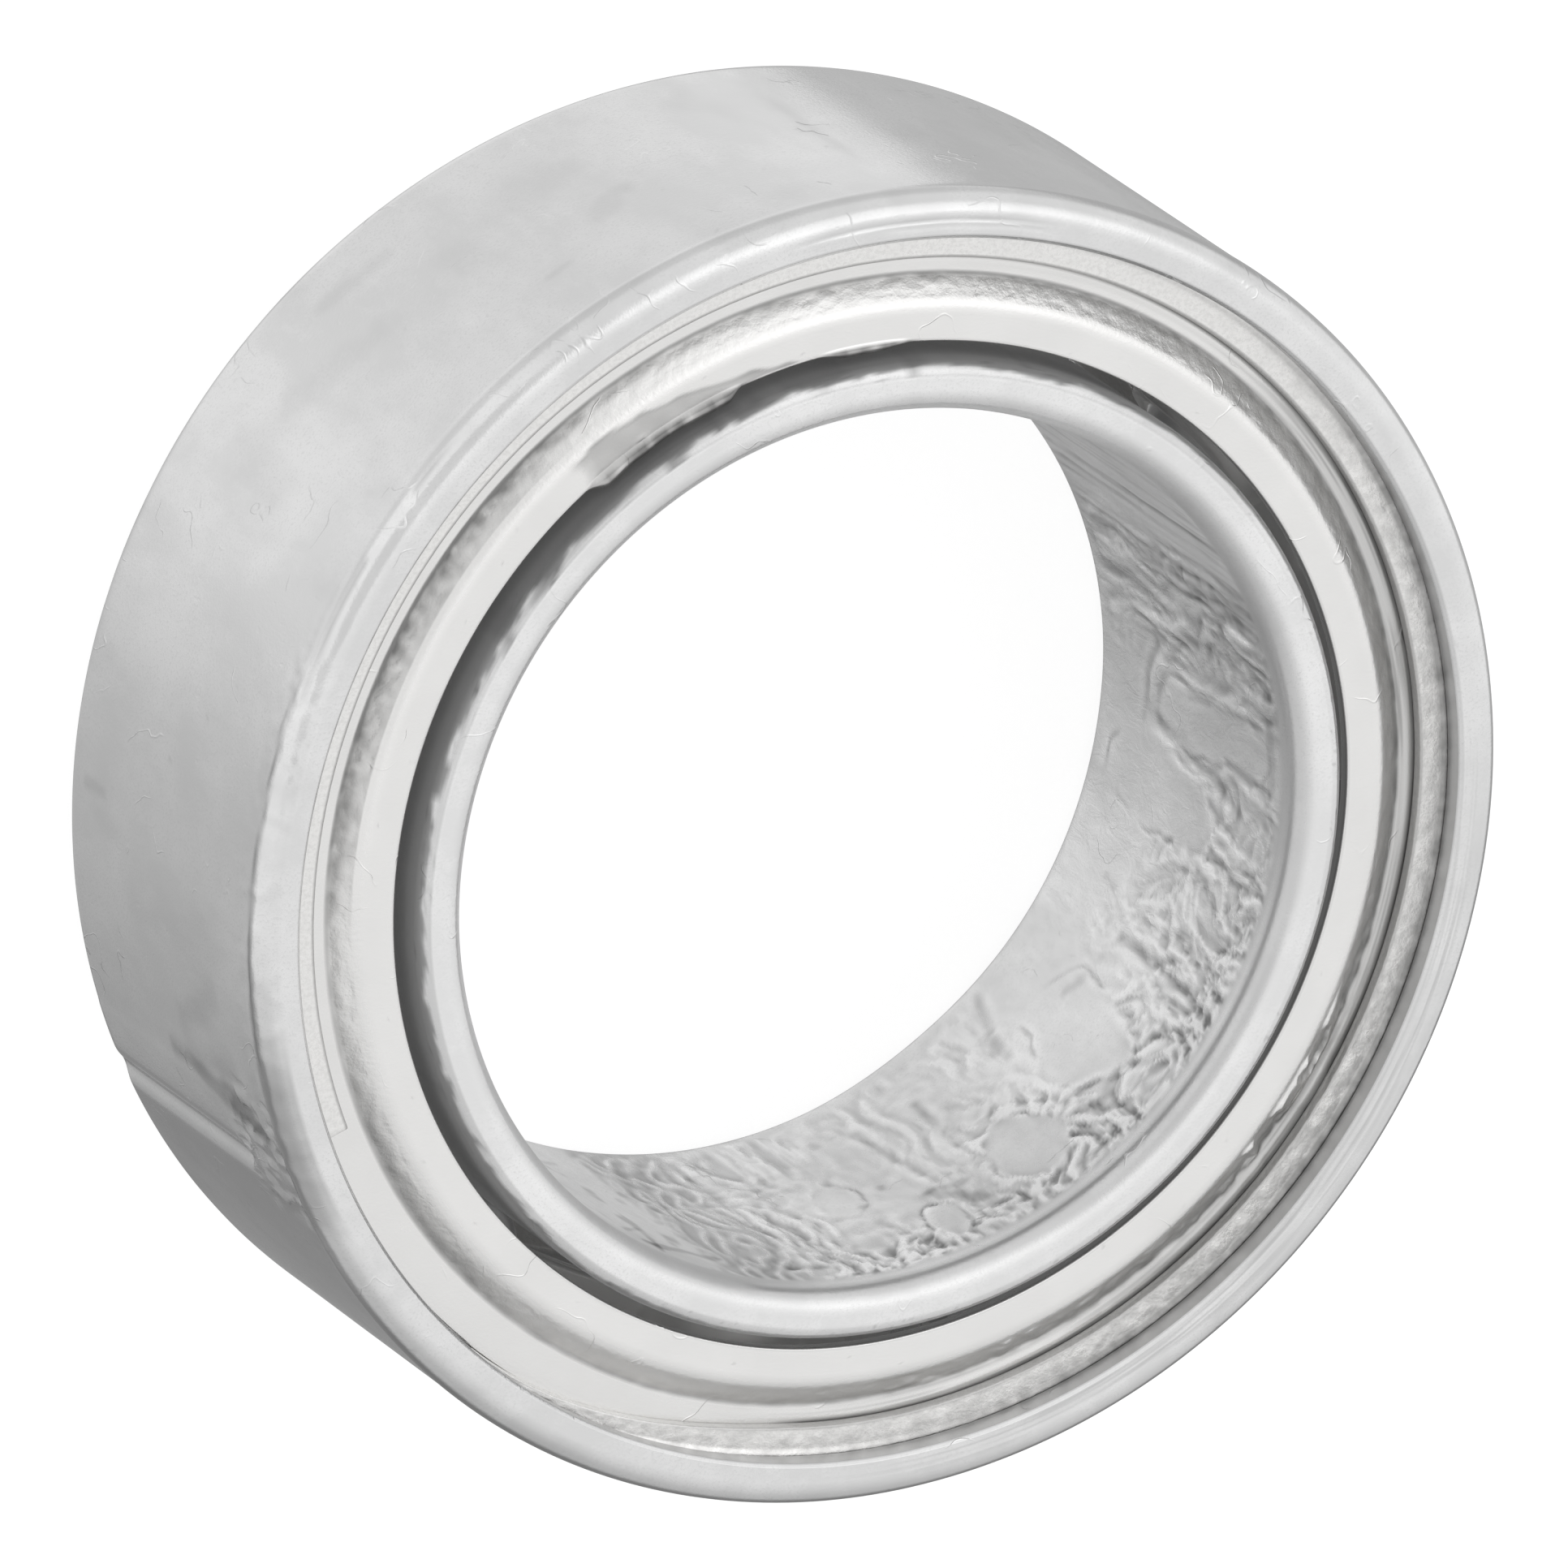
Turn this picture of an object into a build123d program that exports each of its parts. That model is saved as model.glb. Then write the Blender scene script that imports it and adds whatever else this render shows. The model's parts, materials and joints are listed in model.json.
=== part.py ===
from build123d import *
from math import atan2, cos, radians, sin, tan
import os

# A miniature ball bearing, shielded on both sides, in millimetres.
# It lies flat: its axis is Z, its front faces +Z, and the origin is the centre of the bore, halfway
# between the two faces. Angles are counted from +X towards +Y.
# Ring sections are drawn in the XZ plane, with the radius along X and the bearing's axis along Z.

# Standard boundary sizes
inch = 25.4
bore_radius = inch / 4 / 2
outside_radius = inch * 3 / 8 / 2
width = inch / 8

# Rolling parts
ball_count = 11
ball_radius = 0.50
race_clearance = 0.010  # left between a ball and each raceway
groove_radius = 0.525 * (2 * ball_radius)

# Rings
outside_corner = 0.18
mouth_radius = 4.434  # opening of the outer ring, which the shield goes in through
mouth_chamfer = 0.040
outer_land_radius = 4.330
inner_land_radius = 3.540
inner_land_corner = 0.10
bore_corner = 0.17

# Snap ring, a flat wire in a groove behind the mouth
lip_thickness = 0.190
snap_groove_radius = 4.540
snap_thickness = 0.100
snap_play = 0.020
snap_inner_radius = 4.230
snap_outer_radius = snap_groove_radius - 0.010
snap_gap_angle = 27.0
snap_gap_start = {"front": 200.0, "back": 65.0}

# Shield, pressed from sheet: an outer flange, a slope and a raised inner face
sheet = 0.100
shield_rim_radius = 4.420
shield_slope_foot = 4.090
shield_slope_top = 3.910
shield_inner_radius = 3.646
raised_depth = 0.170  # from the ring faces to the raised face
shield_bend = 0.060  # inside radius of its two bends

# Ribbon cage, two pressed halves that meet on the middle plane
cage_sheet = 0.090
cage_inner_radius = 3.680
cage_outer_radius = 4.210
pocket_clearance = 0.040
tab_thickness = 0.050
tab_width = 0.320
tab_reach = 0.150  # how far a folded tab lies over the other half

# Worked out: the levels are distances from the middle plane
half_width = width / 2
pitch_radius = (bore_radius + outside_radius) / 2
pitch_angle = 360 / ball_count
lip_level = half_width - lip_thickness
snap_level = lip_level - snap_play - snap_thickness / 2
flange_level = snap_level - snap_thickness / 2
seat_level = flange_level - sheet
raised_level = half_width - raised_depth
outer_groove_centre = pitch_radius + ball_radius + race_clearance - groove_radius
inner_groove_centre = pitch_radius - ball_radius - race_clearance + groove_radius
pocket_radius = ball_radius + pocket_clearance
cup_radius = pocket_radius + cage_sheet
tab_outer_radius = cage_outer_radius + tab_thickness
sides = {"front": 1, "back": -1}

os.makedirs("parts", exist_ok=True)


def save(piece, label):
    """Names a finished piece and writes its STEP file."""
    piece.part.label = label
    export_step(piece.part, f"parts/{label}.step")


def section_plane(angle):
    """The plane of a ring section at an angle round the axis."""
    outward = (cos(radians(angle)), sin(radians(angle)), 0)
    return Plane(origin=(0, 0, 0), x_dir=outward, z_dir=(outward[1], -outward[0], 0))


# Outer ring: half of its section, mirrored to the other side, with the raceway cut out
with BuildPart() as outer_ring:
    with BuildSketch(Plane.XZ):
        with BuildLine():
            Polyline(
                (outside_radius, 0),
                (outside_radius, half_width),
                (mouth_radius, half_width),
                (mouth_radius, lip_level),
                (snap_groove_radius, lip_level),
                (snap_groove_radius, flange_level),
                (mouth_radius, flange_level),
                (mouth_radius, seat_level),
                (outer_land_radius, seat_level),
                (outer_land_radius, 0),
                close=True,
            )
        make_face()
        face_corners = vertices().group_by(Axis.Y)[-1].sort_by(Axis.X)
        fillet(face_corners[-1], radius=outside_corner)
        chamfer(face_corners[0], length=mouth_chamfer)
        mirror(about=Plane.XZ)
        with Locations((outer_groove_centre, 0)):
            Circle(groove_radius, mode=Mode.SUBTRACT)
    revolve(axis=Axis.Z)
save(outer_ring, "outer_ring")

# Inner ring: plain lands either side of its raceway, rounded at the bore and at the land
with BuildPart() as inner_ring:
    with BuildSketch(Plane.XZ):
        with Locations(((bore_radius + inner_land_radius) / 2, 0)):
            Rectangle(inner_land_radius - bore_radius, width)
        corners = vertices().group_by(Axis.X)
        fillet(corners[0], radius=bore_corner)
        fillet(corners[-1], radius=inner_land_corner)
        with Locations((inner_groove_centre, 0)):
            Circle(groove_radius, mode=Mode.SUBTRACT)
    revolve(axis=Axis.Z)
save(inner_ring, "inner_ring")

# Shields: the two faces of the sheet stay parallel, so the underside's bends are shifted inwards
slope = atan2(raised_level - flange_level, shield_slope_foot - shield_slope_top)
underside_shift = sheet * tan(slope / 2)
for side_name, side in sides.items():
    with BuildPart() as shield:
        with BuildSketch(Plane.XZ):
            with BuildLine():
                topside = FilletPolyline(
                    (shield_rim_radius, side * flange_level),
                    (shield_slope_foot, side * flange_level),
                    (shield_slope_top, side * raised_level),
                    (shield_inner_radius, side * raised_level),
                    radius=(shield_bend, shield_bend + sheet),
                )
                underside = FilletPolyline(
                    (shield_rim_radius, side * (flange_level - sheet)),
                    (shield_slope_foot - underside_shift, side * (flange_level - sheet)),
                    (shield_slope_top - underside_shift, side * (raised_level - sheet)),
                    (shield_inner_radius, side * (raised_level - sheet)),
                    radius=(shield_bend + sheet, shield_bend),
                )
                Line(topside @ 0, underside @ 0)
                Line(topside @ 1, underside @ 1)
            make_face()
        revolve(axis=Axis.Z)
    save(shield, f"shield_{side_name}")

# Snap rings: a flat section swept round the axis, all but the gap
for side_name, side in sides.items():
    with BuildPart() as snap_ring:
        with BuildSketch(section_plane(snap_gap_start[side_name])):
            with Locations(((snap_inner_radius + snap_outer_radius) / 2, side * snap_level)):
                Rectangle(snap_outer_radius - snap_inner_radius, snap_thickness)
        revolve(axis=Axis.Z, revolution_arc=360 - snap_gap_angle)
    save(snap_ring, f"snap_ring_{side_name}")

# Cage halves: flat webs joined by cups that follow the balls
# The front half also has a tab on each web, folded over the edge of the back half
tab_layers = (
    (-cage_sheet - tab_thickness, -cage_sheet, tab_reach),
    (-cage_sheet, 0, 0),
    (0, cage_sheet, tab_reach),
)
for side_name, side in sides.items():
    with BuildPart(Plane.XY) as cage:
        with PolarLocations(pitch_radius, ball_count):
            Sphere(cup_radius)
        for height, mode in ((cup_radius, Mode.INTERSECT), (cage_sheet, Mode.ADD)):
            with BuildSketch(Plane.XY):
                Circle(cage_outer_radius)
                Circle(cage_inner_radius, mode=Mode.SUBTRACT)
            extrude(amount=side * height, mode=mode)
        with PolarLocations(pitch_radius, ball_count):
            Sphere(pocket_radius, mode=Mode.SUBTRACT)
        if side_name == "front":
            for low, high, reach in tab_layers:
                middle_radius = (cage_outer_radius - reach + tab_outer_radius) / 2
                with BuildSketch(Plane.XY.offset(low)):
                    with PolarLocations(middle_radius, ball_count, start_angle=pitch_angle / 2):
                        Rectangle(reach + tab_thickness, tab_width)
                extrude(amount=high - low)
    save(cage, f"cage_{side_name}")

# Balls
for number in range(ball_count):
    with BuildPart(Plane.XY) as ball:
        with PolarLocations(pitch_radius, 1, start_angle=number * pitch_angle):
            Sphere(ball_radius)
    save(ball, f"ball_{number + 1:02d}")

print(f"pitch radius {pitch_radius:.5f} mm, ball centres every {pitch_angle:.3f} degrees")
print(f"cage turns per turn of the inner ring {(pitch_radius - ball_radius) / (2 * pitch_radius):.6f}")
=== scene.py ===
import json
from math import atan2, ceil, cos, pi, radians, sin, tan

import bmesh
import bpy
import numpy as np
from mathutils import Matrix, Vector


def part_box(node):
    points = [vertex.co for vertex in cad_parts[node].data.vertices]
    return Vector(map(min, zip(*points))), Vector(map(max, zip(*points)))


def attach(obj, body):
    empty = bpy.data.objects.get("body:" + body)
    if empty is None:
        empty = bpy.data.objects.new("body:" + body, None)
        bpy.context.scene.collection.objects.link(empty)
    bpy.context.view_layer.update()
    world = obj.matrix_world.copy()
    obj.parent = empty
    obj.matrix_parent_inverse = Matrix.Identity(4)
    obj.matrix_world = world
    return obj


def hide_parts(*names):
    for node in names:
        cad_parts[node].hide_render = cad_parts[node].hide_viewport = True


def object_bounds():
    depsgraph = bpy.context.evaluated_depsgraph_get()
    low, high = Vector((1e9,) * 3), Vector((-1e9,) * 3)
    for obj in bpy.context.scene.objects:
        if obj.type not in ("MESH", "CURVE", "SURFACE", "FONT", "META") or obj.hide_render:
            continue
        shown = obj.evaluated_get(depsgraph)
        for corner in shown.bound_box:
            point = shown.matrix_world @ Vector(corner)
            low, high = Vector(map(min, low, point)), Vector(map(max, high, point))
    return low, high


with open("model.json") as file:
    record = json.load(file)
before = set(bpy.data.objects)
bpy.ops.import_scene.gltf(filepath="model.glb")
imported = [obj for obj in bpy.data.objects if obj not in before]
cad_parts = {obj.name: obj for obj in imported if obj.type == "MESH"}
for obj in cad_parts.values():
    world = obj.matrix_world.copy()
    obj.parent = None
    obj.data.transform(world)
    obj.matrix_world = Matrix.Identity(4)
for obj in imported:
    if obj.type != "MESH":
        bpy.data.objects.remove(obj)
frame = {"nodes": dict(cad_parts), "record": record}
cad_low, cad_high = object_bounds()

# A shielded miniature ball bearing, lying on its back face: its axis is Z and its front looks up.
# Lengths are metres. Angles are counted round the axis from +X towards +Y, and levels along Z.

MM = 0.001
UM = 0.000001
FULL_TURN = 2 * pi

# ---- sizes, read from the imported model

outside_radius = cad_high.x
half_width = cad_high.z
mounts = {mount["name"]: mount for mount in frame["record"]["mounts"]}
bore_radius = mounts["bore"]["dims"]["r_mm"] * MM
inner_land_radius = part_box("inner_ring")[1].x
shield_low, shield_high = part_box("shield_front")
shield_rim_radius = shield_high.x
raised_level = shield_high.z
seat_level = shield_low.z
snap_low, snap_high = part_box("snap_ring_front")
snap_outer_radius = snap_high.x
snap_level = snap_high.z
flange_level = snap_low.z
sheet = flange_level - seat_level
ball_low, ball_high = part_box("ball_01")
ball_radius = (ball_high.x - ball_low.x) / 2
pitch_radius = (ball_high.x + ball_low.x) / 2
ball_names = sorted(name for name in frame["nodes"] if name.startswith("ball_"))
ball_count = len(ball_names)
pitch_angle = FULL_TURN / ball_count
cage_outer_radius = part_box("cage_back")[1].x
cup_radius = -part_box("cage_back")[0].z

# The rest of the sections, as in the CAD part but for a finer chamfer round the mouth
outside_corner = 0.18 * MM
mouth_radius = 4.434 * MM
mouth_chamfer = 0.026 * MM
lip_level = half_width - 0.19 * MM
snap_groove_radius = snap_outer_radius + 0.01 * MM
snap_inner_radius = 4.23 * MM
snap_gap = radians(27)
snap_gap_start = {"front": radians(200), "back": radians(65)}
outer_land_radius = 4.33 * MM
inner_land_corner = 0.1 * MM
bore_corner = 0.17 * MM
race_clearance = 0.01 * MM
groove_radius = 1.05 * ball_radius
slope_foot = 4.09 * MM
slope_top = 3.91 * MM
shield_inner_radius = 3.646 * MM
shield_bend = 0.06 * MM
cage_sheet = 0.09 * MM
cage_inner_radius = 3.68 * MM
pocket_radius = cup_radius - cage_sheet
tab_thickness = 0.05 * MM
tab_width = 0.32 * MM
tab_reach = 0.15 * MM

# Where the camera stands: directions from the bearing's centre
camera_turn = radians(-25.75)
camera_rise = radians(19.8)
toward_camera = Vector((
    sin(camera_turn) * cos(camera_rise),
    sin(camera_rise),
    cos(camera_turn) * cos(camera_rise),
))
camera_distance = 60 * outside_radius
view_width = 10.847 * MM
film_width = 36.0

# How finely the swept pieces are divided round the axis
outer_columns = 660
inner_columns = 600
shield_columns = 900
snap_columns = 1000

# Painted light: a faint glow that lightens the dark sealed space seen through the gaps
painted_glow_color = (0.038, 0.038, 0.038, 1)

# ---- noise for the shapes

random = np.random.default_rng(11)
LATTICE = 256
shuffled = random.permutation(LATTICE)
gradients = random.normal(size=(LATTICE, 3))
gradients /= np.linalg.norm(gradients, axis=1)[:, None]


def noise(points):
    """Smooth noise from about -1 to 1 at an array of points, with features about one unit apart."""
    cell = np.floor(points).astype(int)
    inside = points - cell
    fade = inside**3 * (inside * (inside * 6 - 15) + 10)
    total = np.zeros(points.shape[:-1])
    for corner in np.ndindex(2, 2, 2):
        i, j, k = (cell[..., axis] + corner[axis] for axis in range(3))
        pick = shuffled[(shuffled[(shuffled[i % LATTICE] + j) % LATTICE] + k) % LATTICE]
        offset = inside - np.array(corner)
        share = np.prod(np.where(np.array(corner) == 1, fade, 1 - fade), axis=-1)
        total += share * (gradients[pick] * offset).sum(-1)
    return 1.6 * total


def layered(points, octaves=3):
    """Noise with finer noise on it, each layer half as strong as the one before."""
    return sum(noise(points * 2**n + 17.3 * n) / 2**n for n in range(octaves))


def step(value, low, high):
    """0 below low, 1 above high and smooth between."""
    t = np.clip((value - low) / (high - low), 0, 1)
    return t * t * (3 - 2 * t)


def spot(value, centre, reach):
    """1 at the centre, falling off smoothly over about the reach."""
    return np.exp(-(((value - centre) / reach) ** 2))


def turned(angle, centre):
    """How far round an angle is from a centre given in degrees, in degrees from -180 to 180."""
    return (np.degrees(angle) - centre + 180) % 360 - 180


def along(angle, depth, places):
    """How far points are, in degrees, from a line through (degrees, millimetres) places on a surface
    round the axis. Depths count 18 degrees to the millimetre, which is true to scale in the bore."""
    across = turned(angle, places[0][0])
    nearest = np.full(np.shape(depth), np.inf)
    for (start, low), (end, high) in zip(places, places[1:]):
        begin = np.array((start - places[0][0], low * 18))
        line = np.array((end - start, (high - low) * 18))
        here = np.stack((across, depth * 18), -1) - begin
        share = np.clip(here @ line / (line @ line), 0, 1)
        nearest = np.minimum(nearest, np.linalg.norm(here - share[..., None] * line, axis=-1))
    return nearest


def arc(angle, start, end, fade=3):
    """1 between two angles in degrees, fading to 0 over some degrees at each end."""
    middle, half = (start + end) / 2, (end - start) / 2
    return 1 - step(np.abs(turned(angle, middle)), half - fade, half + fade)


# ---- ring sections


class Section:
    """A closed outline of (radius, level) points, anticlockwise, with the name of each one's surface."""

    def __init__(self, points, names):
        self.points = np.array(points)
        self.names = np.array(names)

    def mirrored(self):
        """The same section on the other side of the middle plane."""
        return Section(self.points[::-1] * (1, -1), self.names[::-1])

    def normals(self):
        along = np.roll(self.points, -1, 0) - np.roll(self.points, 1, 0)
        along /= np.linalg.norm(along, axis=1)[:, None]
        return np.stack((along[:, 1], -along[:, 0]), 1)

    def on(self, name, fade):
        """1 on the named surface, falling smoothly to 0 at its ends over the fade length."""
        here = self.names == name
        gaps = np.linalg.norm(np.roll(self.points, -1, 0) - self.points, axis=1)
        at, around = np.cumsum(gaps) - gaps, gaps.sum()
        away = np.abs(at[:, None] - at[~here][None, :])
        return (here * step(np.minimum(away, around - away).min(1), 0, fade))[:, None]


def section(corners):
    """A Section through corners given as (radius, level, rounding, name, spacing). The name and the
    spacing are those of the run that follows the corner."""
    count = len(corners)
    places = np.array([corner[:2] for corner in corners])
    bends = []
    for here in range(count):
        at, rounding = places[here], corners[here][2]
        back = places[here - 1] - at
        ahead = places[(here + 1) % count] - at
        back /= np.linalg.norm(back)
        ahead /= np.linalg.norm(ahead)
        turn = pi - np.arccos(np.clip(back @ ahead, -1, 1))
        if rounding == 0 or turn < radians(1):
            bends.append([at])
            continue
        middle = (back + ahead) / np.linalg.norm(back + ahead)
        centre = at + middle * rounding / cos(turn / 2)
        start = at + back * rounding * tan(turn / 2) - centre
        end = at + ahead * rounding * tan(turn / 2) - centre
        pieces = max(3, ceil(turn / radians(11)))
        shares = [n / pieces for n in range(pieces + 1)]
        bends.append([
            centre + (start * sin((1 - s) * turn) + end * sin(s * turn)) / sin(turn) for s in shares
        ])
    points, names = [], []
    for here in range(count):
        name, spacing = corners[here][3:]
        start, end = bends[here][-1], bends[(here + 1) % count][0]
        steps = max(1, ceil(np.linalg.norm(end - start) / spacing))
        run = [start + (end - start) * n / steps for n in range(1, steps)]
        for point in list(bends[here]) + run:
            if points and np.linalg.norm(point - points[-1]) < 0.1 * UM:
                names[-1] = name
            else:
                points.append(point)
                names.append(name)
    return Section(points, names)


def raceway(centre, land, side):
    """Corners down a raceway's arc from its upper land to its lower one. Its side is 1 for a groove in
    the outer ring, and -1 for one in the inner ring."""
    reach = np.arccos(side * (land - centre) / groove_radius)
    return [
        (centre + side * groove_radius * cos(t), groove_radius * sin(t), 0, "raceway", MM)
        for t in np.linspace(reach, -reach, 15)
    ]


def mirrored_run(upper):
    """The corners of the lower half of an inside face, from those of its upper half down to the land."""
    names = [corner[3:] for corner in upper[:-1]]
    places = [(radius, -level, rounding) for radius, level, rounding, _, _ in reversed(upper)]
    return [place + run for place, run in zip(places[:-1], reversed(names))] + [places[-1]]


def outer_section():
    coarse, fine = 0.3 * MM, 0.014 * MM
    upper = [
        (outside_radius, half_width, outside_corner, "bend", fine),
        (outside_radius - outside_corner, half_width, 0, "face", fine),
        (mouth_radius + mouth_chamfer, half_width, 0.006 * MM, "edge", 0.02 * MM),
        (mouth_radius, half_width - mouth_chamfer, 0.004 * MM, "groove", 0.03 * MM),
        (mouth_radius, lip_level, 0.008 * MM, "groove", 0.03 * MM),
        (snap_groove_radius, lip_level, 0.01 * MM, "groove", 0.05 * MM),
        (snap_groove_radius, flange_level, 0.01 * MM, "inside", 0.05 * MM),
        (mouth_radius, flange_level, 0.008 * MM, "inside", coarse),
        (mouth_radius, seat_level, 0.008 * MM, "inside", coarse),
        (outer_land_radius, seat_level, 0.02 * MM, "inside", coarse),
    ]
    centre = pitch_radius + ball_radius + race_clearance - groove_radius
    lower = mirrored_run(upper)
    lower[-1] += ("outside", 0.04 * MM)
    return section(upper + raceway(centre, outer_land_radius, 1) + lower)


def inner_section():
    centre = pitch_radius - ball_radius - race_clearance + groove_radius
    race = [
        (radius, -level, rounding, name, spacing)
        for radius, level, rounding, name, spacing in raceway(centre, inner_land_radius, -1)
    ]
    fine = 0.014 * MM
    return section([
        (bore_radius, half_width, bore_corner, "bore", 0.028 * MM),
        (bore_radius, -half_width, bore_corner, "face", fine),
        (inner_land_radius - inner_land_corner, -half_width, 0, "bend", fine),
        (inner_land_radius, -half_width, inner_land_corner, "bend", fine),
        (inner_land_radius, inner_land_corner - half_width, 0, "land", 0.3 * MM),
        *race,
        (inner_land_radius, half_width - inner_land_corner, 0, "bend", fine),
        (inner_land_radius, half_width, inner_land_corner, "bend", fine),
        (inner_land_radius - inner_land_corner, half_width, 0, "face", fine),
    ])


def shield_section():
    slope = atan2(raised_level - flange_level, slope_foot - slope_top)
    shift = sheet * tan(slope / 2)
    outside_bend = shield_bend + sheet
    edge, coarse = 0.014 * MM, 0.1 * MM
    under_level = raised_level - sheet
    return section([
        (shield_rim_radius, flange_level, edge, "flange", 0.015 * MM),
        (slope_foot, flange_level, shield_bend, "slope", 0.012 * MM),
        (slope_top, raised_level, outside_bend, "raised", 0.014 * MM),
        (shield_inner_radius, raised_level, edge, "lip", 0.015 * MM),
        (shield_inner_radius, under_level, edge, "inside", coarse),
        (slope_top - shift, under_level, shield_bend, "inside", coarse),
        (slope_foot - shift, seat_level, outside_bend, "inside", coarse),
        (shield_rim_radius, seat_level, edge, "inside", coarse),
    ])


def snap_section():
    edge = 0.018 * MM
    return section([
        (snap_inner_radius, flange_level, edge, "under", 0.05 * MM),
        (snap_outer_radius, flange_level, edge, "rim", 0.04 * MM),
        (snap_outer_radius, snap_level, edge, "top", 0.014 * MM),
        (snap_inner_radius, snap_level, edge, "wall", 0.016 * MM),
    ])


class Surface:
    """The points of a swept section. Their radius, their depth and where they are in space are in
    millimetres. Depths are levels, positive towards the front."""

    def __init__(self, outline, radius, angle, level):
        self.outline = outline
        self.angle = angle
        self.r = radius / MM
        self.depth = level / MM
        self.at = np.stack((self.r * np.cos(angle), self.r * np.sin(angle), self.depth), -1)
        self.everywhere = self.at, angle, self.r, self.depth

    def on(self, name, fade):
        """1 on the named run of the section, falling to 0 at its ends over the fade length."""
        return self.outline.on(name, fade * MM)


# ---- meshes


def placed(name, data):
    """A new object in the scene."""
    made = bpy.data.objects.new(name, data)
    bpy.context.scene.collection.objects.link(made)
    return made


def piece(name, body, slot, material, vertices, faces, stain_and_shade=None):
    """A smooth-shaded object made of vertices and faces, riding on a body."""
    mesh = bpy.data.meshes.new(name)
    mesh.from_pydata(vertices, [], faces)
    mesh.shade_smooth()
    if stain_and_shade is not None:
        # the attribute holds stains together with painted shade and a painted glint
        mesh.attributes.new("stain_and_shade", "FLOAT", "POINT").data.foreach_set("value", stain_and_shade.astype(np.float32))
    mesh.materials.append(material)
    made = placed(name, mesh)
    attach(made, body)
    return made


def grid_faces(rows, columns, close_rows, close_columns):
    """Quads over a grid of vertices numbered row by row."""
    row = np.arange(rows if close_rows else rows - 1)[:, None]
    column = np.arange(columns if close_columns else columns - 1)[None, :]
    next_row, next_column = (row + 1) % rows, (column + 1) % columns
    corners = ((row, column), (row, next_column), (next_row, next_column), (next_row, column))
    return np.stack([r * columns + c for r, c in corners], -1).reshape(-1, 4).tolist()


def crowded(count, start, end, share):
    """Angles once round. A share of them lies between two angles in degrees, where the detail is finest."""
    inside = round(count * share)
    near = np.linspace(start, end, inside, endpoint=False)
    far = np.linspace(end, start + 360, count - inside, endpoint=False)
    return np.radians(np.concatenate((near, far)))


def swept(outline, angles, relief, stain_and_shade, whole=True):
    """The vertices and faces of a section swept round the axis, and each vertex's darkness from stains and
    painted shade. relief(surface) says how far each point stands out, in micrometres, and the third
    argument how rough and dark each point is, from 0 to 1. An open sweep has rounded, closed ends."""
    normals = outline.normals()
    inset = 0 * angles
    if not whole:
        rounding = 0.015 * MM
        bend = np.linspace(0, pi / 2, 5)[:-1]
        from_end = rounding * (1 - np.cos(bend)) / snap_outer_radius
        pull = rounding * (1 - np.sin(bend))
        angles = np.concatenate((angles[0] + from_end, angles[1:-1], angles[-1] - from_end[::-1]))
        inset = np.concatenate((pull, 0 * angles[4:-4], pull[::-1]))
    radius = outline.points[:, :1] + 0 * angles
    level = outline.points[:, 1:] + 0 * angles
    angle = 0 * radius + angles
    surface = Surface(outline, radius, angle, level)
    shift = UM * relief(surface) - inset
    values = np.clip(stain_and_shade(surface), 0, 1)
    radius = radius + normals[:, :1] * shift
    level = level + normals[:, 1:] * shift
    vertices = np.stack((radius * np.cos(angle), radius * np.sin(angle), level), -1).reshape(-1, 3)
    rows, columns = radius.shape
    # the outlines run anticlockwise, so columns before rows gives faces that look outwards
    faces = grid_faces(rows, columns, True, whole)
    if not whole:
        faces.append([row * columns for row in range(rows)])
        faces.append([row * columns + columns - 1 for row in reversed(range(rows))])
    return vertices, faces, values.reshape(-1)


# ---- relief of the visible surfaces


def ridges(points, octaves=2):
    """Noise with sharp crests, from about 0 to 1."""
    return 1 - np.clip(2.2 * np.abs(layered(points, octaves)), 0, 1)


def knocks(at, size, share):
    """Sparse soft dots, from 0 to 1: the share of the surface they cover falls as it nears 1."""
    return step(noise(at / size), share, share + 0.25)


def ringed(surface, size):
    """Noise in streaks that run round the axis, about a size in millimetres apart."""
    around = surface.angle
    return layered(np.stack((surface.r / size, 3 * np.cos(around), 3 * np.sin(around)), -1), 2)


# Outer ring. Places are (degrees, depth), and smudges are (places, half width in degrees, strength)
outside_groove = [(202.6, 0.6), (202.9, -1.45)]
outside_scratch = [(71.6, -0.5), (72.4, -0.38), (73.8, -0.26)]
smudges_outside = (
    ([(197.8, 1.15), (196.4, 0.6), (195.2, -0.15)], 1.3, 0.55),
    ([(187.0, 0.75), (191.0, 0.15)], 1.8, 0.2),
    ([(193.0, 0.9), (194.5, 0.2)], 1.8, 0.2),
    ([(198.3, 1.2), (197.3, 0.75)], 0.9, 0.6),
    ([(204.0, 1.3), (206.0, 0.9)], 1.0, 0.35),
    ([(175.5, -0.95), (175.6, -1.25)], 0.6, 0.18),
    ([(106.0, 0.1), (109.0, 0.35)], 1.6, 0.12),
    ([(115.0, 0.7), (116.5, 0.72)], 0.8, 0.14),
    ([(124.0, -0.9), (129.5, -0.97)], 1.8, 0.12),
    ([(130.0, -0.2), (137.0, -0.45)], 3.0, 0.08),
)


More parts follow.
